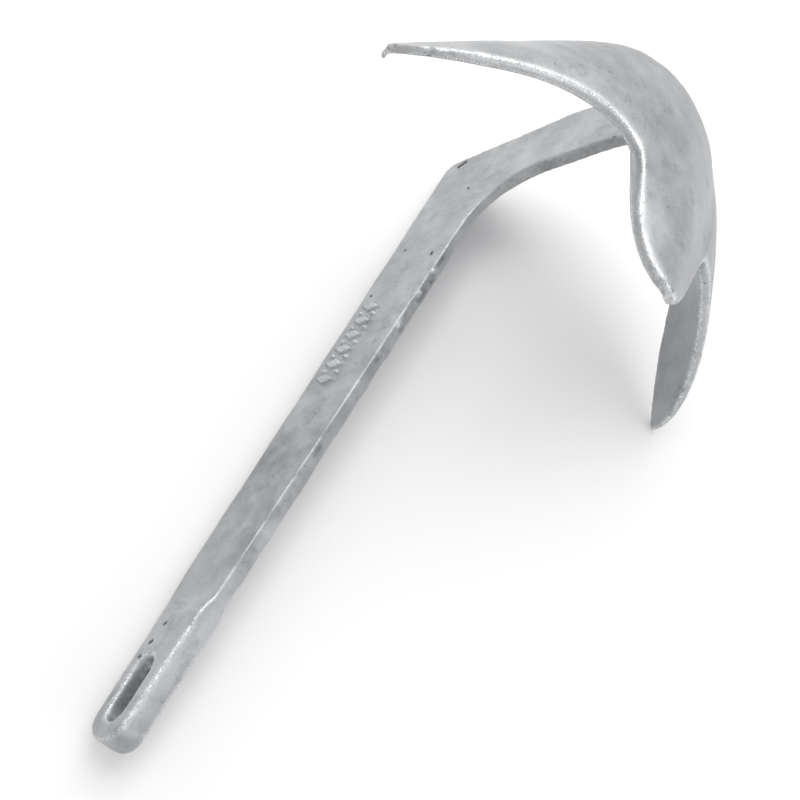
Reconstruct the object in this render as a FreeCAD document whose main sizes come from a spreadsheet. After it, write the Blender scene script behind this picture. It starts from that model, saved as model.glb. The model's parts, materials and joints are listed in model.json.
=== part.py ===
import FreeCAD, Part
import Sketcher
import math
import os
from FreeCAD import Placement, Rotation, Vector

# Galvanised claw anchor of the 5 kg size, lying on its side as it rests on a floor.
#
# Every piece is modelled in the anchor's own axes: X runs along the shank towards the
# shackle end, Y across the anchor, Z from the claw towards the shank, with the origin at
# the outer corner of the elbow.  All pieces are then turned together into the resting
# attitude, on the spine of the shank and the tip of one wing, with +Z up, and the origin
# goes to the middle of the bottom of their common box.  Lengths are in millimetres.

doc = FreeCAD.newDocument("claw_anchor")
sheet = doc.addObject("Spreadsheet::Sheet", "dims")

DIMENSIONS = {
    # shank, seen from the side
    "arm_length": 429.0,        # outer corner of the elbow to the shackle end
    "elbow_depth": 46.5,        # depth of the bar just before the elbow
    "neck_depth": 32.5,         # depth of the bar where it meets the shackle boss
    "inner_bend_x": 26.5,       # corner that the inner bend is rounded from
    "inner_bend_z": 47.2,
    "ankle_front_x": 16.0,      # front edge of the lower arm, above its toe
    "ankle_front_z": 142.5,
    "ankle_rear_x": 23.0,       # rear edge of the lower arm, above its heel
    "ankle_rear_z": 116.0,
    "toe_x": 46.0,
    "heel_x": 4.0,
    "bend_radius": 47.0,
    "ankle_radius": 70.0,       # rear edge of the lower arm
    "toe_radius": 40.0,         # front edge, where it spreads into the toe
    "elbow_radius": 8.0,
    # shank, across
    "spine_thickness": 16.0,    # outer edge, which the boss shares
    "keel_thickness": 7.0,      # inner edge
    "overrun": 60.0,            # how far the tapered stock runs past the outline
    # shackle boss and its slot
    "boss_length": 74.0,
    "boss_depth": 28.0,
    "boss_top_radius": 13.0,
    "boss_bottom_radius": 12.0,
    "shoulder_length": 14.0,
    "slot_length": 35.0,
    "slot_width": 12.0,
    "slot_margin": 10.0,        # metal left between the slot and the shackle end
    # claw: rear edge, front edge and palm, as the corners of their curves
    "crown_x": 0.0,
    "crown_drop": 180.5,
    "crown_half_width": 65.0,
    "rear_x": 26.5,
    "rear_y": 65.0,
    "rear_drop": 144.5,
    "wing_tip_x": 117.0,
    "wing_tip_y": 142.5,
    "wing_tip_drop": 125.5,
    "front_x": 124.0,
    "front_y": 126.5,
    "front_drop": 173.5,
    "web_x": 99.0,
    "web_y": 34.0,
    "web_drop": 202.0,
    "web_out_x": 56.0,
    "web_out_y": 62.0,
    "web_out_drop": 185.0,
    "palm_side_x": 157.0,
    "palm_side_y": 23.0,
    "palm_side_drop": 208.5,
    "palm_tip_x": 159.0,
    "palm_tip_drop": 222.0,
    "palm_tip_width": 5.0,
    "wing_bulge": 2.0,
    "wing_tip_half": 2.0,       # half of the blunt end of a wing
    "edge_thickness": 6.5,
    "tip_thickness": 4.5,
    "crown_thickness": 15.0,
    "foot_sink": 15.0,          # how far the shank's outline runs on into the claw at its toe
    # weld beads between the foot of the shank and the claw
    "weld_radius": 4.5,
    "weld_start_x": 12.0,       # middle of each bead's round end, towards the heel
    "weld_end_x": 38.0,         # and towards the toe
}
for row, (alias, value) in enumerate(DIMENSIONS.items(), start=1):
    sheet.set("A%d" % row, alias)
    sheet.set("B%d" % row, str(value))
    sheet.setAlias("B%d" % row, alias)
doc.recompute()


def dim(alias):
    """A driving dimension, read back from the sheet."""
    return float(getattr(sheet, alias))


def bind(feature, **expressions):
    """Tie properties of a feature to the sheet, written with the aliases alone."""
    for prop, expression in expressions.items():
        for alias in sorted(DIMENSIONS, key=len, reverse=True):
            expression = expression.replace("#" + alias, "dims." + alias)
        feature.setExpression(prop, expression)
    return feature


def origin_plane(body, role):
    return next(plane for plane in body.Origin.OriginFeatures if plane.Role == role)


# ---------------------------------------------------------------- shank

# Corners of the side outline, as x and z.
SHANK_OUTLINE = [
    ("0", "0"),
    ("#arm_length", "0"),
    ("#arm_length", "-#boss_depth"),
    ("#arm_length - #boss_length", "-#neck_depth"),
    ("#inner_bend_x", "-#inner_bend_z"),
    ("#ankle_front_x", "-#ankle_front_z"),
    ("#toe_x", "-#crown_drop - #foot_sink"),
    ("#heel_x", "-#crown_drop"),
    ("-#ankle_rear_x", "-#ankle_rear_z"),
]
# Corners that are rounded, and the radius of each.
SHANK_ROUNDS = [
    (0, "elbow_radius"),
    (1, "boss_top_radius"),
    (2, "boss_bottom_radius"),
    (4, "bend_radius"),
    (5, "toe_radius"),
    (8, "ankle_radius"),
]


def value_of(expression):
    """The number that an outline expression stands for."""
    for alias in sorted(DIMENSIONS, key=len, reverse=True):
        expression = expression.replace("#" + alias, str(dim(alias)))
    return FreeCAD.Units.parseQuantity(expression).Value


def add_outline(sketch, corners):
    """A closed polygon whose corners are held at their distances from the origin."""
    points = [Vector(value_of(x), value_of(z), 0) for x, z in corners]
    count = len(points)
    for index, point in enumerate(points):
        sketch.addGeometry(Part.LineSegment(point, points[(index + 1) % count]), False)
    for index in range(count):
        sketch.addConstraint(Sketcher.Constraint("Coincident", index, 2, (index + 1) % count, 1))
    for index, (x, z) in enumerate(corners):
        for axis, expression in (("DistanceX", x), ("DistanceY", z)):
            place = value_of(expression)
            name = "%s%d" % (axis, index)
            number = sketch.addConstraint(Sketcher.Constraint(axis, -1, 1, index, 1, place))
            sketch.renameConstraint(number, name)
            if "#" in expression:
                bind(sketch, **{"Constraints." + name: expression})


def edge_across(shape, x, z):
    """Name of the edge that runs straight across the anchor at x and z."""
    for number, edge in enumerate(shape.Edges, start=1):
        middle = edge.CenterOfMass
        box = edge.BoundBox
        if abs(middle.x - x) + abs(middle.z - z) < 0.01 and max(box.XLength, box.ZLength) < 0.01:
            return "Edge%d" % number
    raise ValueError("no edge across at %.1f, %.1f" % (x, z))


def shank_blank():
    """The side outline of the shank, as thick as its spine, with its corners rounded."""
    body = doc.addObject("PartDesign::Body", "shank_blank")
    sketch = body.newObject("Sketcher::SketchObject", "shank_outline")
    sketch.AttachmentSupport = (origin_plane(body, "XZ_Plane"), [""])
    sketch.MapMode = "FlatFace"
    add_outline(sketch, SHANK_OUTLINE)
    pad = body.newObject("PartDesign::Pad", "shank_pad")
    pad.Profile = sketch
    pad.SideType = "Symmetric"
    bind(pad, Length="#spine_thickness")
    doc.recompute()
    for number, (index, radius) in enumerate(SHANK_ROUNDS):
        base = body.Tip
        x, z = (value_of(text) for text in SHANK_OUTLINE[index])
        fillet = body.newObject("PartDesign::Fillet", "shank_round_%d" % number)
        fillet.Base = (base, [edge_across(base.Shape, x, z)])
        bind(fillet, Radius="#" + radius)
        body.Tip = fillet
        doc.recompute()
    return body


def taper(name, length, depth):
    """A bar along local X, keel-thin at local Y = 0 and spine-thick at local Y = depth."""
    wedge = doc.addObject("Part::Wedge", name)
    wedge.Xmin = wedge.X2min = wedge.Ymin = 0
    return bind(wedge, Xmax=length, X2max=length, Ymax=depth,
                Zmin="-#keel_thickness / 2", Zmax="#keel_thickness / 2",
                Z2min="-#spine_thickness / 2", Z2max="#spine_thickness / 2")


def block(name, length, width, height, x, y, z):
    """A box with its lowest corner at x, y, z; every size is an expression."""
    box = doc.addObject("Part::Box", name)
    return bind(box, Length=length, Width=width, Height=height,
                **{".Placement.Base.x": x, ".Placement.Base.y": y, ".Placement.Base.z": z})


def shank_envelope():
    """The space that the tapered bar, its thin inner edge and its boss may fill."""
    depth, overrun = dim("elbow_depth"), dim("overrun")
    down_leg = Vector(-dim("ankle_rear_x"), 0, -dim("ankle_rear_z")).normalize()
    to_spine = Vector(down_leg.z, 0, -down_leg.x)
    arm = taper("arm_taper", "#arm_length + #overrun", "#elbow_depth")
    arm.Placement = Placement(Vector(-overrun, 0, -depth), Rotation(Vector(1, 0, 0), 90))
    leg = taper("leg_taper", "#crown_drop + 2 * #overrun", "#elbow_depth")
    leg.Placement = Placement(-to_spine * depth - down_leg * overrun,
                              Rotation(down_leg, to_spine, Vector(0, 1, 0), "XYZ"))
    web = block("keel_web", "#arm_length + #overrun", "#keel_thickness", "#palm_tip_drop",
                "-#overrun", "-#keel_thickness / 2", "-#palm_tip_drop")
    boss = block("boss_block", "#boss_length", "#spine_thickness", "#elbow_depth",
                 "#arm_length - #boss_length", "-#spine_thickness / 2", "-#elbow_depth")
    shoulder = taper("boss_shoulder", "#elbow_depth", "#shoulder_length")
    shoulder_x = dim("arm_length") - dim("boss_length") - dim("shoulder_length")
    shoulder.Placement = Placement(
        Vector(shoulder_x, 0, -depth),
        Rotation(Vector(0, 0, 1), Vector(1, 0, 0), Vector(0, 1, 0), "XYZ"))
    envelope = doc.addObject("Part::MultiFuse", "shank_envelope")
    envelope.Shapes = [arm, leg, web, boss, shoulder]
    return envelope


def slot_cutter():
    """A round-ended slot right across the shackle boss."""
    pieces = [block("slot_middle", "#slot_length - #slot_width", "#spine_thickness * 2",
                    "#slot_width", "#arm_length - #slot_margin - #slot_length + #slot_width / 2",
                    "-#spine_thickness", "-#boss_depth / 2 - #slot_width / 2")]
    for name, inset in (("slot_outer_end", "#slot_width / 2"),
                        ("slot_inner_end", "#slot_length - #slot_width / 2")):
        end = doc.addObject("Part::Cylinder", name)
        end.Placement.Rotation = Rotation(Vector(1, 0, 0), 90)
        bind(end, Radius="#slot_width / 2", Height="#spine_thickness * 2",
             **{".Placement.Base.x": "#arm_length - #slot_margin - (%s)" % inset,
                ".Placement.Base.y": "#spine_thickness", ".Placement.Base.z": "-#boss_depth / 2"})
        pieces.append(end)
    cutter = doc.addObject("Part::MultiFuse", "slot_cutter")
    cutter.Shapes = pieces
    return cutter


def subtract(name, base, tool):
    """What is left of base once tool is cut away."""
    difference = doc.addObject("Part::Cut", name)
    difference.Base = base
    difference.Tool = tool
    return difference


def make_bar():
    """The shank with its slot, before its foot is cut to sit on the claw."""
    blank, envelope = shank_blank(), shank_envelope()
    solid_bar = doc.addObject("Part::MultiCommon", "solid_bar")
    solid_bar.Shapes = [blank, envelope]
    return subtract("slotted_bar", solid_bar, slot_cutter())


# ---------------------------------------------------------------- claw

PALM_SHARE = 0.3        # how much of each half of the claw, from its middle, is the palm
STATIONS = 16           # curve stations from the middle of the claw to a wing tip
CHORD_STEPS = 4         # steps from the rear edge to the front edge
TANGENT_STEP = 0.01     # share of the way over which a direction is measured
FULL_BULGE_CHORD = 60.0     # a wing narrower than this has less bulge
TIP_THINNING = 4            # how late along a wing its plate thins to the tip, as a power


def corner(prefix):
    """A corner of the claw's curves, from its x, y and drop below the spine."""
    return Vector(dim(prefix + "_x"), dim(prefix + "_y"), -dim(prefix + "_drop"))


def middle_corner(prefix):
    """A corner on the claw's plane of symmetry."""
    return Vector(dim(prefix + "_x"), 0, -dim(prefix + "_drop"))


def bezier(corners, share):
    """The point of a cubic Bezier curve at a share of its way."""
    rest = 1 - share
    weights = (rest ** 3, 3 * rest ** 2 * share, 3 * rest * share ** 2, share ** 3)
    total = Vector()
    for place, weight in zip(corners, weights):
        total += place * weight
    return total


def claw_edges():
    """Corners of the rear edge, the palm's front edge and the wing's front edge."""
    crown, palm = middle_corner("crown"), middle_corner("palm_tip")
    web, tip, front = corner("web"), corner("wing_tip"), corner("front")
    blunt = (front - corner("rear")).normalize() * dim("wing_tip_half")
    rear_edge = [crown, crown + Vector(0, dim("crown_half_width"), 0), corner("rear"), tip - blunt]
    palm_edge = [palm, palm + Vector(0, dim("palm_tip_width"), 0), corner("palm_side"), web]
    wing_edge = [web, corner("web_out"), front, tip + blunt]
    return rear_edge, palm_edge, wing_edge


def claw_chord(share):
    """Rear and front end of the claw's chord at a share of the way to a wing tip."""
    rear_edge, palm_edge, wing_edge = claw_edges()
    rear = bezier(rear_edge, share)
    if share < PALM_SHARE:
        return rear, bezier(palm_edge, share / PALM_SHARE)
    return rear, bezier(wing_edge, (share - PALM_SHARE) / (1 - PALM_SHARE))


def outward_normal(share):
    """Unit vector out of the claw's outer face at a share of the way to a wing tip."""
    rear, front = claw_chord(share)
    along = Vector(0, 1, 0)
    if share > 0:
        ahead = sum(claw_chord(min(share + TANGENT_STEP, 1)), Vector())
        behind = sum(claw_chord(share - TANGENT_STEP), Vector())
        along = ahead - behind
    outward = along.cross(front - rear).normalize()
    return outward if outward.z < 0 else -outward


def claw_section(share):
    """Across the claw at one station: middle points, outward normal and thickness of each."""
    rear, front = claw_chord(share)
    outward = outward_normal(share)
    bulge = dim("wing_bulge") * share * min(1, (front - rear).Length / FULL_BULGE_CHORD)
    thinning = dim("edge_thickness") - dim("tip_thickness")
    edge_thickness = dim("edge_thickness") - thinning * share ** TIP_THINNING
    thickening = (dim("crown_thickness") - dim("edge_thickness")) * (1 - share ** 2)
    section = []
    for step in range(CHORD_STEPS + 1):
        across = step / CHORD_STEPS
        arch = 4 * across * (1 - across)
        place = rear + (front - rear) * across + outward * bulge * arch
        section.append((place, outward, edge_thickness + thickening * arch))
    return section


def mirrored(section):
    """The same section on the other side of the anchor."""
    def flip(vector):
        return Vector(vector.x, -vector.y, vector.z)
    return [(flip(place), flip(outward), thickness) for place, outward, thickness in section]


def skin(sections, side):
    """One face of the claw: side is 1 for its outer face and -1 for its inner face."""
    grid = [[place + outward * (side * thickness / 2) for place, outward, thickness in section]
            for section in sections]
    surface = Part.BSplineSurface()
    surface.interpolate(grid)
    return surface


def claw_solid():
    """A curved plate: two smooth skins, joined along their four edges."""
    half = [claw_section(step / STATIONS) for step in range(STATIONS + 1)]
    sections = [mirrored(section) for section in half[:0:-1]] + half
    outer, inner = skin(sections, 1), skin(sections, -1)
    first_u, last_u, first_v, last_v = outer.bounds()
    faces = [outer.toShape(), inner.toShape()]
    for outer_curve, inner_curve in ((outer.uIso(first_u), inner.uIso(first_u)),
                                     (outer.uIso(last_u), inner.uIso(last_u)),
                                     (outer.vIso(first_v), inner.vIso(first_v)),
                                     (outer.vIso(last_v), inner.vIso(last_v))):
        faces.append(Part.makeRuledSurface(outer_curve.toShape(), inner_curve.toShape()))
    sewn = Part.makeCompound(faces)
    sewn.sewShape()
    solid = Part.makeSolid(sewn.Shells[0])
    if solid.Volume < 0:
        solid.reverse()
    return solid


def shape_feature(name, shape):
    """A document object that holds a shape made with Part's functions."""
    feature = doc.addObject("Part::Feature", name)
    feature.Shape = shape
    return feature


# ---------------------------------------------------------------- welds

def inner_face_drop(x):
    """Drop of the claw's inner face below the spine, on the plane of symmetry."""
    share = (x - dim("crown_x")) / (dim("palm_tip_x") - dim("crown_x"))
    middle_drop = dim("crown_drop") + share * (dim("palm_tip_drop") - dim("crown_drop"))
    arch = 4 * share * (1 - share)
    thickness = dim("edge_thickness") + arch * (dim("crown_thickness") - dim("edge_thickness"))
    return middle_drop - thickness / 2


def make_weld(name, side, bar, claw_tool):
    """A bead in the corner between the shank's foot and the claw, on one side of the shank."""
    start_x, end_x = dim("weld_start_x"), dim("weld_end_x")
    start = Vector(start_x, side * dim("spine_thickness") / 2, -inner_face_drop(start_x))
    end = Vector(end_x, side * dim("keel_thickness") / 2, -inner_face_drop(end_x))
    rod = doc.addObject("Part::Cylinder", name + "_rod")
    rod.Height = (end - start).Length
    rod.Placement = Placement(start, Rotation(Vector(0, 0, 1), end - start))
    bind(rod, Radius="#weld_radius")
    pieces = [rod]
    for place, suffix in ((start, "_heel_end"), (end, "_toe_end")):
        ball = doc.addObject("Part::Sphere", name + suffix)
        ball.Placement.Base = place
        bind(ball, Radius="#weld_radius")
        pieces.append(ball)
    capsule = doc.addObject("Part::MultiFuse", name + "_capsule")
    capsule.Shapes = pieces
    beside_shank = subtract(name + "_beside_shank", capsule, bar)
    return subtract(name, beside_shank, claw_tool)


# ---------------------------------------------------------------- resting attitude

LEAN_LOW, LEAN_HIGH = 120.0, 150.0      # degrees about X between which the anchor comes to rest
LEAN_HALVINGS = 24


def turned_box(shape, lean):
    """Exact box of a shape once it leans over by an angle about X."""
    turned = shape.copy()
    turned.rotate(Vector(), Vector(1, 0, 0), lean)
    return turned.optimalBoundingBox(False)


def resting_placement(shank_shape, claw_shape):
    """Leans the anchor until its spine and a wing tip are equally low, then stands it on z = 0."""
    low, high = LEAN_LOW, LEAN_HIGH
    for _ in range(LEAN_HALVINGS):
        lean = (low + high) / 2
        if turned_box(claw_shape, lean).ZMin > turned_box(shank_shape, lean).ZMin:
            high = lean
        else:
            low = lean
    box = turned_box(Part.makeCompound([shank_shape, claw_shape]), lean)
    middle = Vector(box.Center.x, box.Center.y, box.ZMin)
    return Placement(-middle, Rotation(Vector(1, 0, 0), lean))


# ---------------------------------------------------------------- build, check and write

claw_shape = claw_solid()
claw_tool = shape_feature("claw_tool", claw_shape)
slotted_bar = make_bar()
shank = subtract("shank", slotted_bar, claw_tool)
claw = shape_feature("claw", claw_shape)
welds = [make_weld("root_weld_port", 1, slotted_bar, claw_tool),
         make_weld("root_weld_starboard", -1, slotted_bar, claw_tool)]
doc.recompute()

rest = resting_placement(shank.Shape, claw_shape)
pieces = [shank, claw] + welds
for piece in pieces:
    piece.Placement = rest
    piece.Label = piece.Name
doc.recompute()

for item in doc.Objects:
    if "Invalid" in item.State or "Error" in item.State:
        raise RuntimeError("%s failed: %s" % (item.Name, item.State))
for piece in pieces:
    if piece.Shape.isNull() or not piece.Shape.isValid() or len(piece.Shape.Solids) != 1:
        raise RuntimeError("%s is not one valid solid" % piece.Label)

os.makedirs("parts", exist_ok=True)
for piece in pieces:
    piece.Shape.exportStep(os.path.join("parts", piece.Label + ".step"))
    print("%s: %.0f mm3" % (piece.Label, piece.Shape.Volume))
print("lean about X: %.3f degrees, shift %s" % (math.degrees(rest.Rotation.Angle), rest.Base))
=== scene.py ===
import json
import math

import bpy
import numpy as np
from mathutils import Matrix, Vector, noise
from mathutils.bvhtree import BVHTree


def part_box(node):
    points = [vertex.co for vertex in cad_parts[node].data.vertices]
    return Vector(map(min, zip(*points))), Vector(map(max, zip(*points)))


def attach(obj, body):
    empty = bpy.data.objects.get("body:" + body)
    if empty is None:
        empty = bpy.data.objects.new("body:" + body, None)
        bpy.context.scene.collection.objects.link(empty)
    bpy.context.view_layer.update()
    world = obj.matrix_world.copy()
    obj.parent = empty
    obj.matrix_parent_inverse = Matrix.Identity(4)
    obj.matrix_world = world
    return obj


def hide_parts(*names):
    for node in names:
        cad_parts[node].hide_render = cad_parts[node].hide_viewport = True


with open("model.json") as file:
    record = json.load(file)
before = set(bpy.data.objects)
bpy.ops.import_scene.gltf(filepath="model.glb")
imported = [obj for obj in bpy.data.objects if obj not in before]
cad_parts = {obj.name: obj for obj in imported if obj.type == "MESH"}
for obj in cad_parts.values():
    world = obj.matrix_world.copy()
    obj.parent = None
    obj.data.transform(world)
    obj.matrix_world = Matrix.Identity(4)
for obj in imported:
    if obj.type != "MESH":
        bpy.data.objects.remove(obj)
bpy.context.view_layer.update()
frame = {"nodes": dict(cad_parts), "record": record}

# The anchor's own axes in the row's frame: FORE along the shank's long arm to the shackle
# end, PORT out of the cheek that faces up, UPWARD from the claw to the shank's spine.
# Anchor coordinates start at the outer corner of the elbow and are in millimetres.
MM = 0.001
ARM_LENGTH = 429 * MM
SLOT_BELOW_SPINE = 14 * MM
MOUNTS = {mount["name"]: mount for mount in frame["record"]["mounts"]}
FORE = Vector((1, 0, 0))
PORT = Vector(MOUNTS["cheek_port"]["axis"])
UPWARD = FORE.cross(PORT)
ELBOW = Vector(MOUNTS["shackle_slot"]["pos_m"]) + UPWARD * SLOT_BELOW_SPINE
ELBOW.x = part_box("shank")[1].x - ARM_LENGTH
TO_ANCHOR = np.array([FORE, PORT, UPWARD])


def row_place(x, y, z):
    """Row place of a point given in anchor coordinates."""
    return ELBOW + (FORE * x + PORT * y + UPWARD * z) * MM


def anchor_places(places):
    """Anchor coordinates of an array of row places."""
    return (places - np.array(ELBOW)) @ TO_ANCHOR.T / MM


# ---------------------------------------------------------------- mesh helpers

def places_of(mesh):
    values = np.zeros(len(mesh.vertices) * 3, np.float32)
    mesh.vertices.foreach_get("co", values)
    return values.reshape(-1, 3).astype(float)


def normals_of(mesh):
    values = np.zeros(len(mesh.vertices) * 3, np.float32)
    mesh.vertex_normals.foreach_get("vector", values)
    return values.reshape(-1, 3).astype(float)


def set_places(mesh, places):
    mesh.vertices.foreach_set("co", places.astype(np.float32).ravel())
    mesh.update()


def set_mark(mesh, name, values):
    """Stores one number per vertex for the material to read."""
    mark = mesh.attributes.new(name, "FLOAT", "POINT")
    mark.data.foreach_set("value", values.astype(np.float32))


BALL_RINGS, BALL_SIDES = 8, 12


def ball(centre, radius):
    """Vertices and faces of a ball."""
    places, faces = [], []
    for ring in range(BALL_RINGS + 1):
        tilt = math.pi * ring / BALL_RINGS
        for side in range(BALL_SIDES):
            turn = 2 * math.pi * side / BALL_SIDES
            offset = (math.sin(tilt) * math.cos(turn), math.sin(tilt) * math.sin(turn),
                      math.cos(tilt))
            places.append(centre + Vector(offset) * radius)
    for ring in range(BALL_RINGS):
        for side in range(BALL_SIDES):
            after = (side + 1) % BALL_SIDES
            low, high = ring * BALL_SIDES, (ring + 1) * BALL_SIDES
            faces.append((low + side, high + side, high + after, low + after))
    return places, faces


RUN_STEPS = 6               # balls between one point of a run of zinc and the next


def run_of_zinc(points):
    """Overlapping balls along anchor points, each given as x, y, z and radius."""
    meshes = []
    for first, last in zip(points, points[1:]):
        for step in range(RUN_STEPS + 1):
            x, y, z, radius = (a + (b - a) * step / RUN_STEPS for a, b in zip(first, last))
            meshes.append(ball(row_place(x, y, z), radius * MM))
    return meshes


def fused(node, name, voxel, lumps=()):
    """A CAD node and its lumps of zinc, fused into one fine, even mesh."""
    source = frame["nodes"][node].data
    places = [vertex.co.copy() for vertex in source.vertices]
    faces = [tuple(face.vertices) for face in source.polygons]
    for lump_places, lump_faces in lumps:
        first = len(places)
        places += lump_places
        faces += [tuple(first + index for index in face) for face in lump_faces]
    mesh = bpy.data.meshes.new(name)
    mesh.from_pydata(places, [], faces)
    piece = bpy.data.objects.new(name, mesh)
    bpy.context.scene.collection.objects.link(piece)
    remesh = piece.modifiers.new("fuse", "REMESH")
    remesh.mode = "VOXEL"
    remesh.voxel_size = voxel
    evaluated = piece.evaluated_get(bpy.context.evaluated_depsgraph_get())
    fine = bpy.data.meshes.new_from_object(evaluated)
    piece.modifiers.clear()
    piece.data = fine
    fine.shade_smooth()
    return piece


RELAX_STEP = 0.6            # share of the way to its neighbours' middle a vertex moves each round


def relax(mesh, rounds, weight):
    """Rounds every edge off; weight says how strongly at each vertex, from 0 to 1."""
    ends = np.zeros(len(mesh.edges) * 2, np.int32)
    mesh.edges.foreach_get("vertices", ends)
    first, last = ends[0::2], ends[1::2]
    places = places_of(mesh)
    count = len(places)
    near = np.bincount(first, minlength=count) + np.bincount(last, minlength=count)
    near = np.maximum(near, 1)[:, None]
    for _ in range(rounds):
        total = np.empty_like(places)
        for axis in range(3):
            total[:, axis] = np.bincount(first, places[last, axis], count)
            total[:, axis] += np.bincount(last, places[first, axis], count)
        places += (total / near - places) * (RELAX_STEP * weight)[:, None]
    set_places(mesh, places)


# Distances of the rounded surface from the CAD's, in mm, which set each edge's wear and its
# painted glints.
WEAR_START_GAP = 0.1        # nearer than this isn't worn
FULL_WEAR_GAP = 0.7         # this much farther is a fully worn edge
LUMP_GAP = 1.6              # farther than this is a lump of zinc, not an edge
LUMP_WEAR = 0.2


def edge_wear_and_glint(mesh, node):
    """From 0 on a flat face to 1 where a CAD edge has been rounded off the most."""
    source = frame["nodes"][node].data
    tree = BVHTree.FromPolygons([vertex.co for vertex in source.vertices],
                                [face.vertices for face in source.polygons])
    gaps = np.array([tree.find_nearest(vertex.co)[3] for vertex in mesh.vertices]) / MM
    wear_and_glint = np.clip((gaps - WEAR_START_GAP) / FULL_WEAR_GAP, 0, 1)
    return np.where(gaps > LUMP_GAP, LUMP_WEAR, wear_and_glint)


SEED_STEPS = (7.3, 3.1, 5.7)    # how far each seed moves the noise along each axis


def waves(places, size, seed):
    """Smooth random heights between about -1 and 1, with features of the given size in mm."""
    shift = Vector([seed * step for step in SEED_STEPS])
    scale = 1 / (size * MM)
    return np.array([noise.noise(Vector(place) * scale + shift) for place in places])


def smooth(share):
    """Eases a share from 0 to 1 in and out."""
    return share * share * (3 - 2 * share)


def spread(values, low, high):
    """Smooth step from 0 at low to 1 at high."""
    return smooth(np.clip((values - low) / (high - low), 0, 1))


# ---------------------------------------------------------------- surface of the zinc

# Sizes in mm of the features in the zinc's surface, and the seed of each one's noise.
SWELLS, RIPPLES, FINE_RIPPLES = (30, 1), (9, 2), (4, 3)
EDGE_DENTS, EDGE_WAVES = (2.4, 4), (11, 5)
FINE_SHARE = 0.5            # height of the fine ripples, as a share of the ripples'


def roughen(mesh, swell, ripple, edge, edge_rough):
    """Moves the surface in and out by some mm, as zinc over a rough casting does."""
    places, normals = places_of(mesh), normals_of(mesh)
    height = swell * waves(places, *SWELLS) + ripple * waves(places, *RIPPLES)
    height += FINE_SHARE * ripple * waves(places, *FINE_RIPPLES)
    height += edge * edge_rough * (waves(places, *EDGE_DENTS) + waves(places, *EDGE_WAVES)) / 2
    set_places(mesh, places + normals * (height * MM)[:, None])


PIT_DARKENING_GAIN = 1.5             # how much faster a pit turns dark than deep
SHORTEST = 0.001            # least square of a pit's length, so that a point divides too


def press(mesh, pits):
    """Presses pits in: each from one anchor point to another, with a radius and a depth.

    Returns from 0 to 1 how dark each vertex is.
    """
    places, normals = places_of(mesh), normals_of(mesh)
    anchor = anchor_places(places)
    dirt_and_shade = np.zeros(len(places))
    for start, end, radius, depth in pits:
        start, along = np.array(start), np.array(end) - np.array(start)
        share = np.clip((anchor - start) @ along / max(along @ along, SHORTEST), 0, 1)
        gap = np.linalg.norm(anchor - start - share[:, None] * along, axis=1)
        fall = np.exp(-(gap / radius) ** 2)
        places -= normals * (fall * depth * MM)[:, None]
        dirt_and_shade = np.maximum(dirt_and_shade, np.clip(PIT_DARKENING_GAIN * fall, 0, 1))
    set_places(mesh, places)
    return dirt_and_shade


# A row of plain lozenges with studs between them, cast proud on the port side of the shank.
MARK_START, MARK_END = 139.0, 199.0     # along the shank
MARK_MIDDLE = -12.5                     # below the spine
MARK_COUNT = 6
MARK_HALF_HEIGHT, MARK_HALF_WIDTH = 9.0, 4.8
STUD_RADIUS = 1.8
STUD_OFFSET = 5                         # from the row's middle, to either side
MARK_RISE = 1.5
MARK_STEEPNESS = 3.2
PORT_FACING = 0.8                       # how squarely a vertex has to face port to be raised


def raise_marks(mesh):
    """Raises the row and returns how far up each vertex is, from 0 to 1."""
    places, normals = places_of(mesh), normals_of(mesh)
    anchor = anchor_places(places)
    rise = np.zeros(len(places))
    pitch = (MARK_END - MARK_START) / (MARK_COUNT - 1)
    for number in range(2 * MARK_COUNT - 1):
        along = anchor[:, 0] - (MARK_START + number * pitch / 2)
        down = anchor[:, 2] - MARK_MIDDLE
        inside = 1 - np.abs(along) / MARK_HALF_WIDTH - np.abs(down) / MARK_HALF_HEIGHT
        if number % 2:
            inside = 1 - np.hypot(along, np.abs(down) - STUD_OFFSET) / STUD_RADIUS
        rise = np.maximum(rise, np.clip(inside * MARK_STEEPNESS, 0, 1))
    rise = smooth(rise) * (normals @ np.array(PORT) > PORT_FACING)
    set_places(mesh, places + np.array(PORT) * (rise * MARK_RISE * MM)[:, None])
    return rise


# ---------------------------------------------------------------- material

METALLIC = 0.75
BUMP_DEPTH = 0.5 * MM
# Noise in the zinc: features per metre, detail and roughness.
DRIFTS, BLOTCHES, GRAIN = (16, 3, 0.5), (60, 5, 0.6), (700, 3, 0.65)
FLECKS, STAINS, SPECKS = (1300, 3, 0.7), (70, 5, 0.72), (420, 1, 0.5)
# How much of each makes the tone, and the tones that are darkest and lightest.
DRIFT_TONE, BLOTCH_TONE, GRAIN_TONE = 0.40, 0.42, 0.18
DARKEST, LIGHTEST = 0.41, 0.59
# Where in its noise each mark starts and is full, how strong it is, and its colour.
# The glints are painted highlights: near-white specks on the rounded edges.
PAINTED_GLINT_MARK = (0.44, 0.60, 0.9, (0.90, 0.91, 0.92))
STAIN_MARK = (0.55, 0.68, 0.46, (0.22, 0.23, 0.235))
SPECK_MARK = (0.75, 0.79, 0.7, (0.10, 0.10, 0.105))
WORN_TINT, WORN_COLOUR = 0.12, (0.36, 0.37, 0.38)
# Near-black for dirt and pits, and for painted shade inside the slot, under the lower arm and on
# the marks' flanks.
DIRT_AND_SHADE_COLOUR = (0.035, 0.037, 0.04)
# Roughness of plain zinc, and what each adds to it.
PLAIN_ROUGHNESS = 0.26
BLOTCH_ROUGHNESS, GRAIN_ROUGHNESS, WORN_ROUGHNESS, GLINT_ROUGHNESS = 0.30, 0.10, -0.08, -0.08
GRAIN_BUMP, FLECK_BUMP = 0.5, 0.6


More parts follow.
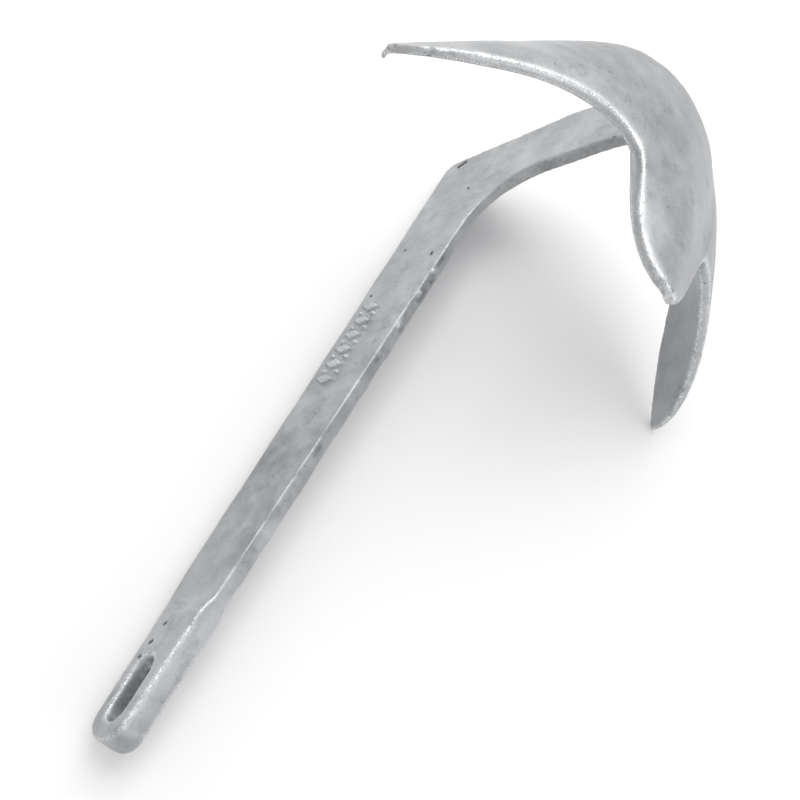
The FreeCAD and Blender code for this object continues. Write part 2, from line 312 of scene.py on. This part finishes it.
def galvanised(name, dark, light, relief):
    """Hot-dip zinc: mottled grey and satin, with painted highlights on its worn edges, darkened
    in its pits and by dirt and painted shade where marked.
    """
    material = bpy.data.materials.new(name)
    material.use_nodes = True
    nodes, links = material.node_tree.nodes, material.node_tree.links
    shader = nodes["Principled BSDF"]
    shader.inputs["Metallic"].default_value = METALLIC
    place = nodes.new("ShaderNodeTexCoord").outputs["Object"]

    def cloud(scale, detail, roughness):
        node = nodes.new("ShaderNodeTexNoise")
        node.inputs["Scale"].default_value = scale
        node.inputs["Detail"].default_value = detail
        node.inputs["Roughness"].default_value = roughness
        links.new(place, node.inputs["Vector"])
        return node.outputs["Fac"]

    def figure(operation, *terms):
        node = nodes.new("ShaderNodeMath")
        node.operation = operation
        for socket, term in zip(node.inputs, terms):
            if isinstance(term, (int, float)):
                socket.default_value = term
            else:
                links.new(term, socket)
        return node.outputs[0]

    def total(*terms):
        result = terms[0]
        for term in terms[1:]:
            result = figure("ADD", result, term)
        return result

    def mark(attribute):
        node = nodes.new("ShaderNodeAttribute")
        node.attribute_name = attribute
        return node.outputs["Fac"]

    def blend(amount, first, colour):
        node = nodes.new("ShaderNodeMix")
        node.data_type = "RGBA"
        factor, start, end = (socket for socket in node.inputs
                              if socket.identifier in ("Factor_Float", "A_Color", "B_Color"))
        links.new(amount, factor)
        links.new(first, start)
        end.default_value = (*colour, 1)
        return next(socket for socket in node.outputs if socket.identifier == "Result_Color")

    def band(value, low, high):
        node = nodes.new("ShaderNodeMapRange")
        node.inputs["From Min"].default_value = low
        node.inputs["From Max"].default_value = high
        links.new(value, node.inputs["Value"])
        return node.outputs["Result"]

    def scaled(value, amount):
        return figure("MULTIPLY", value, amount)

    drifts, blotches, grain, flecks = (cloud(*noise_kind)
                                       for noise_kind in (DRIFTS, BLOTCHES, GRAIN, FLECKS))
    tone = total(scaled(drifts, DRIFT_TONE), scaled(blotches, BLOTCH_TONE),
                 scaled(grain, GRAIN_TONE))
    ramp = nodes.new("ShaderNodeValToRGB")
    for end, position, shade in zip(ramp.color_ramp.elements, (DARKEST, LIGHTEST), (dark, light)):
        end.position = position
        end.color = (*shade, 1)
    links.new(tone, ramp.inputs[0])

    # Rounded edges get a worn tint and painted highlights in near-white glints.
    wear_and_glint = mark("edge")
    glint_low, glint_high, glint_strength, glint_colour = PAINTED_GLINT_MARK
    painted_glints = figure("MULTIPLY", scaled(wear_and_glint, glint_strength), band(flecks, glint_low, glint_high))
    colour = blend(scaled(wear_and_glint, WORN_TINT), ramp.outputs[0], WORN_COLOUR)
    colour = blend(painted_glints, colour, glint_colour)
    for noise_kind, (low, high, strength, shade) in ((STAINS, STAIN_MARK), (SPECKS, SPECK_MARK)):
        colour = blend(scaled(band(cloud(*noise_kind), low, high), strength), colour, shade)
    # Near-black from the mesh's mark: dark dirt and pits, and painted shade in the slot, under
    # the lower arm and on the marks' flanks.
    colour = blend(mark("dirt_and_shade"), colour, DIRT_AND_SHADE_COLOUR)
    links.new(colour, shader.inputs["Base Color"])

    roughness = total(scaled(blotches, BLOTCH_ROUGHNESS), scaled(grain, GRAIN_ROUGHNESS),
                      scaled(wear_and_glint, WORN_ROUGHNESS), scaled(painted_glints, GLINT_ROUGHNESS),
                      PLAIN_ROUGHNESS)
    links.new(roughness, shader.inputs["Roughness"])

    bump = nodes.new("ShaderNodeBump")
    bump.inputs["Strength"].default_value = relief
    bump.inputs["Distance"].default_value = BUMP_DEPTH
    height = total(scaled(grain, GRAIN_BUMP), blotches,
                   scaled(figure("MULTIPLY", wear_and_glint, flecks), FLECK_BUMP))
    links.new(height, bump.inputs["Height"])
    links.new(bump.outputs["Normal"], shader.inputs["Normal"])
    return material


# ---------------------------------------------------------------- the anchor's pieces

def hand_over(piece, node, material):
    """Gives a piece its material and puts it in the place of its CAD node."""
    piece.data.materials.clear()
    piece.data.materials.append(material)
    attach(piece, "root")
    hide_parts(node)


# Lumps of zinc under the keel: runs of anchor points, each x, y, z and radius.
KEEL_LUMPS = [
    [(108.0, 2.4, -43.7, 1.2), (110.0, -0.6, -43.9, 1.1), (113.5, 0.6, -43.5, 1.0)],
    [(126.5, 1.6, -42.9, 1.2), (129.5, 0.6, -42.8, 1.0)],
    [(150.5, 0.6, -41.7, 1.3), (154.5, 1.6, -41.6, 1.0)],
    [(176.0, 1.0, -40.6, 1.0), (178.0, 0.5, -40.5, 0.9)],
]
# Stains and pits: two anchor points, a radius and a depth.
KEEL_STAINS = [
    ((109.0, -0.5, -43.6), (115.0, -1.0, -43.2), 1.5, 0.0),
    ((124.0, 0.0, -42.9), (131.0, -1.0, -42.6), 1.6, 0.0),
    ((150.0, 0.0, -41.8), (156.0, -1.5, -41.3), 1.5, 0.0),
    ((178.0, 0.5, -40.8), (182.0, 1.0, -40.2), 1.1, 0.0),
    ((96.0, 1.5, -44.3), (103.0, 1.0, -44.0), 1.0, 0.0),
    ((246.0, 1.0, -37.6), (252.0, 1.0, -37.3), 1.3, 0.0),
]
SHANK_PITS = [
    ((4.6, 7.6, -10.0), (1.2, 7.7, -14.8), 1.1, 1.0),
    ((365.4, 8.0, -10.9), (366.2, 8.0, -10.1), 0.75, 0.5),
    ((376.2, 8.0, -9.0), (377.4, 8.0, -8.0), 0.8, 0.6),
    ((385.2, 8.0, -6.8), (385.7, 8.0, -6.4), 0.7, 0.5),
    ((427.0, 6.5, -18.5), (427.0, 5.5, -20.5), 0.8, 0.3),
    ((30.5, 5.3, -31.4), (31.2, 5.2, -32.0), 0.8, 0.5),
    ((87.2, 7.1, -9.6), (87.7, 7.1, -9.8), 0.75, 0.4),
    ((92.3, 4.8, -34.8), (94.2, 4.7, -35.2), 0.9, 0.3),
    ((128.7, 7.6, -5.6), (129.2, 7.6, -5.8), 0.75, 0.4),
    ((16.6, 4.2, -138.4), (16.4, 4.3, -137.6), 0.7, 0.4),
]
CLAW_PITS = [
    ((60.9, 65.2, -189.1), (61.6, 64.6, -189.4), 0.9, 0.6),
    ((72.7, 51.8, -196.5), (73.3, 51.3, -196.7), 1.0, 0.7),
    ((76.4, 31.3, -202.8), (77.0, 31.0, -203.0), 0.9, 0.6),
    ((71.4, 79.6, -183.7), (71.9, 79.2, -183.9), 0.8, 0.5),
    ((72.1, 75.0, -186.2), (72.6, 74.6, -186.4), 0.8, 0.5),
    ((30.0, 48.0, -180.0), (30.5, 47.5, -180.2), 0.8, 0.5),
    ((105.0, 12.0, -210.0), (105.6, 12.0, -210.2), 0.7, 0.5),
]
# The run of zinc that hooks over the port wing's tip.
WING_TIP_RUN = [(117.5, 142.0, -131.0, 2.1), (118.6, 142.4, -127.4, 1.8),
                (120.4, 142.6, -125.6, 1.6), (122.4, 142.0, -125.4, 1.7)]


# A pair below is where an effect starts and where it is full or gone, as an anchor place or
# a distance in mm. Clouds, spots and patches are a noise's size in mm and its seed instead.
SLOT_MIDDLE_X, SLOT_HALF_STRAIGHT = 401.5, 11.5
SLOT_WALL = (6.0, 8.0)                  # from the slot's middle line
SLOT_MOUTH = (-0.5, 5.5)                # across the boss, out to port
UNDERSIDE_FACING = (0.3, 0.7)           # share of a vertex's normal that points fore
UNDERSIDE_TOP = (-60, -46)
DULL_FROM, DULL_TO = (200, 240), (300, 350)
DULL_LEVEL = 0.6
DULL_CLOUDS, DULL_CLOUD_SHARE = (14, 8), 0.9
DULL_SPOTS, DULL_SPOT_SHARE = (5, 9), 0.4


# The slot's inside is painted darker the deeper it lies: painted shade.
def slot_painted_shade(mesh):
    """From 0 to 1, how deep inside the shackle slot each vertex lies."""
    anchor = anchor_places(places_of(mesh))
    past_straight = np.maximum(np.abs(anchor[:, 0] - SLOT_MIDDLE_X) - SLOT_HALF_STRAIGHT, 0)
    gap = np.hypot(past_straight, anchor[:, 2] + SLOT_BELOW_SPINE / MM)
    return (1 - spread(gap, *SLOT_WALL)) * (1 - spread(anchor[:, 1], *SLOT_MOUTH))


# The lower arm's front edge faces down and is painted darker there: painted shade.
def underside(mesh):
    """From 0 to 1, how far each vertex lies on the lower arm's front edge."""
    anchor = anchor_places(places_of(mesh))
    facing = normals_of(mesh) @ np.array(FORE)
    return spread(facing, *UNDERSIDE_FACING) * (1 - spread(anchor[:, 2], *UNDERSIDE_TOP))


def dull_stretch(mesh):
    """From 0 to 1, the stretch of shank where the zinc has gone dull and blotchy."""
    places = places_of(mesh)
    along = anchor_places(places)[:, 0]
    stretch = spread(along, *DULL_FROM) * (1 - spread(along, *DULL_TO))
    clouds = DULL_CLOUD_SHARE * waves(places, *DULL_CLOUDS)
    spots = DULL_SPOT_SHARE * waves(places, *DULL_SPOTS)
    return stretch * np.clip(DULL_LEVEL + clouds + spots, 0, 1)


# Each casting is remeshed, then relaxed for some rounds, then roughened by a swell, a ripple
# and its edges' roughness, in mm. Its zinc has a dark colour, a light colour and a relief.
CAST_VOXEL, BEAD_VOXEL = 0.9 * MM, 0.6 * MM
SHANK_ROUNDS, BOSS_ROUNDS, CLAW_ROUNDS, BEAD_ROUNDS = 30, 25, 32, 4
SHANK_ROUGH, CLAW_ROUGH, BEAD_ROUGH = (0.25, 0.10, 0.32), (0.30, 0.12, 0.16), (0.1, 0.25, 0.2)
SHANK_ZINC = ((0.34, 0.35, 0.36), (0.49, 0.50, 0.51), 0.40)
CLAW_ZINC = ((0.35, 0.36, 0.37), (0.48, 0.49, 0.50), 0.50)
BEAD_ZINC = ((0.30, 0.31, 0.32), (0.48, 0.49, 0.50), 0.6)

# The arm keeps fairly sharp edges. The boss is rounder, but less so at its end.
ARM_ROUNDNESS = 0.16
BOSS_EDGES, BOSS_CORE = (325, 375), (345, 380)
BOSS_END, BOSS_CORE_END = (414, 426), (412, 422)
BOSS_END_SHARPNESS = 0.6
# How dark each kind of dirt and painted shade is on the shank (the stains and the dull stretch
# are dirt; the slot's inside, the underside and the marks' flanks are painted shade), the patches
# it comes in, and the wear and painted glints on the marks' tops.
STAIN_SOOT, FLANK_SHADE, SLOT_SHADE, UNDERSIDE_SHADE, DULL_SOOT = 0.4, 0.45, 0.6, 0.22, 0.30
PATCHES, PATCH_LEVEL, PATCH_SHARE = (2, 6), 0.6, 0.8
MARK_WEAR_AND_GLINT = 0.6

# The wing tip on the port side keeps the shape of its run of zinc.
TIP_KEPT = (132, 139)
TIP_SHARPNESS = 0.85
# Dirt along the claw's front edge.
FRONT_FROM = (96, 115)
FRONT_PATCHES, FRONT_GAIN, FRONT_SOOT = (3, 7), 1.6, 0.6


def make_shank():
    lumps = [mesh for points in KEEL_LUMPS for mesh in run_of_zinc(points)]
    piece = fused("shank", "shank_cast", CAST_VOXEL, lumps)
    mesh = piece.data
    along = anchor_places(places_of(mesh))[:, 0]
    boss = spread(along, *BOSS_EDGES) * (1 - BOSS_END_SHARPNESS * spread(along, *BOSS_END))
    relax(mesh, SHANK_ROUNDS, ARM_ROUNDNESS + (1 - ARM_ROUNDNESS) * boss)
    relax(mesh, BOSS_ROUNDS, spread(along, *BOSS_CORE) * (1 - spread(along, *BOSS_CORE_END)))
    edge = edge_wear_and_glint(mesh, "shank")
    proud = raise_marks(mesh)
    swell, ripple, edge_rough = SHANK_ROUGH
    roughen(mesh, swell, ripple, edge, edge_rough)
    dirt_and_shade = press(mesh, SHANK_PITS)
    stains = press(mesh, KEEL_STAINS)
    patchy = PATCH_LEVEL + PATCH_SHARE * waves(places_of(mesh), *PATCHES)
    flank = 4 * proud * (1 - proud)     # 1 halfway up a mark's side, 0 at its foot and top
    # The stains and the dull stretch are dirt. The slot's inside, the lower arm's underside and
    # the marks' flanks get painted shade.
    for strength, darkening in ((STAIN_SOOT, stains), (FLANK_SHADE, flank),
                           (SLOT_SHADE, slot_painted_shade(mesh) * patchy),
                           (UNDERSIDE_SHADE, underside(mesh) * patchy),
                           (DULL_SOOT, dull_stretch(mesh))):
        dirt_and_shade = np.maximum(dirt_and_shade, strength * darkening)
    set_mark(mesh, "dirt_and_shade", np.clip(dirt_and_shade, 0, 1))
    # The marks' tops count as worn edges, so they also get the painted glints.
    set_mark(mesh, "edge", np.maximum(edge, MARK_WEAR_AND_GLINT * proud))
    hand_over(piece, "shank", galvanised("zinc_shank", *SHANK_ZINC))


def make_claw():
    piece = fused("claw", "claw_cast", CAST_VOXEL, run_of_zinc(WING_TIP_RUN))
    mesh = piece.data
    out_to_port = anchor_places(places_of(mesh))[:, 1]
    relax(mesh, CLAW_ROUNDS, 1 - TIP_SHARPNESS * spread(out_to_port, *TIP_KEPT))
    edge = edge_wear_and_glint(mesh, "claw")
    swell, ripple, edge_rough = CLAW_ROUGH
    roughen(mesh, swell, ripple, edge, edge_rough)
    places = places_of(mesh)
    front_edge = edge * spread(anchor_places(places)[:, 0], *FRONT_FROM)
    grime = np.clip(FRONT_GAIN * waves(places, *FRONT_PATCHES), 0, 1)
    dirt_and_shade = np.maximum(press(mesh, CLAW_PITS), FRONT_SOOT * front_edge * grime)
    set_mark(mesh, "dirt_and_shade", dirt_and_shade)
    set_mark(mesh, "edge", edge)
    hand_over(piece, "claw", galvanised("zinc_claw", *CLAW_ZINC))


def make_weld(node):
    piece = fused(node, node + "_bead", BEAD_VOXEL)
    mesh = piece.data
    relax(mesh, BEAD_ROUNDS, np.ones(len(mesh.vertices)))
    edge = edge_wear_and_glint(mesh, node)
    swell, ripple, edge_rough = BEAD_ROUGH
    roughen(mesh, swell, ripple, edge, edge_rough)
    set_mark(mesh, "dirt_and_shade", np.zeros(len(mesh.vertices)))
    set_mark(mesh, "edge", edge)
    hand_over(piece, node, galvanised("zinc_" + node, *BEAD_ZINC))


make_shank()
make_claw()
for weld in ("root_weld_port", "root_weld_starboard"):
    make_weld(weld)


# ---------------------------------------------------------------- stage, light and camera

FLOOR_HALF = 30.0
FLOOR_COLOUR = (0.88, 0.88, 0.885)
FLOOR_ROUGHNESS, FLOOR_SHEEN = 0.9, 0.1
SKY_STRENGTH = 0.78
# Soft square lights that face the anchor: place, size and power.
LIGHTS = [
    ("overhead", (-0.55, 0.00, 1.10), 1.0, 7),
    ("side", (-1.0, -0.8, 0.5), 0.8, 2.5),
    ("fill", (0.5, 1.1, 0.9), 1.0, 3.5),
]
# The photo's viewpoint: place, where the view points in degrees, and lens in mm.
CAMERA_PLACE = (0.2753, 0.02866, 0.5364)
CAMERA_HEADING, CAMERA_DIP, CAMERA_ROLL = -166.505, 59.947, 14.782
CAMERA_LENS = 45.86
CAMERA_NEAR = 0.01


def make_floor():
    mesh = bpy.data.meshes.new("floor")
    half = FLOOR_HALF
    mesh.from_pydata([(-half, -half, 0), (half, -half, 0), (half, half, 0), (-half, half, 0)],
                     [], [(0, 1, 2, 3)])
    floor = bpy.data.objects.new("floor", mesh)
    bpy.context.scene.collection.objects.link(floor)
    material = bpy.data.materials.new("pale_floor")
    material.use_nodes = True
    shader = material.node_tree.nodes["Principled BSDF"]
    shader.inputs["Base Color"].default_value = (*FLOOR_COLOUR, 1)
    shader.inputs["Roughness"].default_value = FLOOR_ROUGHNESS
    shader.inputs["Specular IOR Level"].default_value = FLOOR_SHEEN
    mesh.materials.append(material)


def soft_light(name, place, size, watts):
    lamp = bpy.data.lights.new(name, "AREA")
    lamp.size = size
    lamp.energy = watts
    item = bpy.data.objects.new(name, lamp)
    item.location = place
    item.rotation_euler = (-Vector(place)).to_track_quat("-Z", "Y").to_euler()
    bpy.context.scene.collection.objects.link(item)


def make_world(strength):
    world = bpy.data.worlds.new("studio")
    world.use_nodes = True
    background = world.node_tree.nodes["Background"]
    background.inputs["Color"].default_value = (1, 1, 1, 1)
    background.inputs["Strength"].default_value = strength
    bpy.context.scene.world = world


def make_camera():
    heading, dip, roll = map(math.radians, (CAMERA_HEADING, CAMERA_DIP, CAMERA_ROLL))
    ahead = Vector((math.cos(heading) * math.cos(dip), math.sin(heading) * math.cos(dip),
                    -math.sin(dip)))
    right = Vector((math.sin(heading), -math.cos(heading), 0))
    above = right.cross(ahead)
    right, above = (right * math.cos(roll) + above * math.sin(roll),
                    above * math.cos(roll) - right * math.sin(roll))
    data = bpy.data.cameras.new("camera")
    data.lens = CAMERA_LENS
    data.clip_start = CAMERA_NEAR
    camera = bpy.data.objects.new("camera", data)
    bpy.context.scene.collection.objects.link(camera)
    turn = Matrix((right, above, -ahead)).transposed().to_4x4()
    camera.matrix_world = Matrix.Translation(CAMERA_PLACE) @ turn
    bpy.context.scene.camera = camera


make_floor()
make_world(SKY_STRENGTH)
for light in LIGHTS:
    soft_light(*light)
make_camera()
bpy.context.scene.view_settings.view_transform = "Standard"
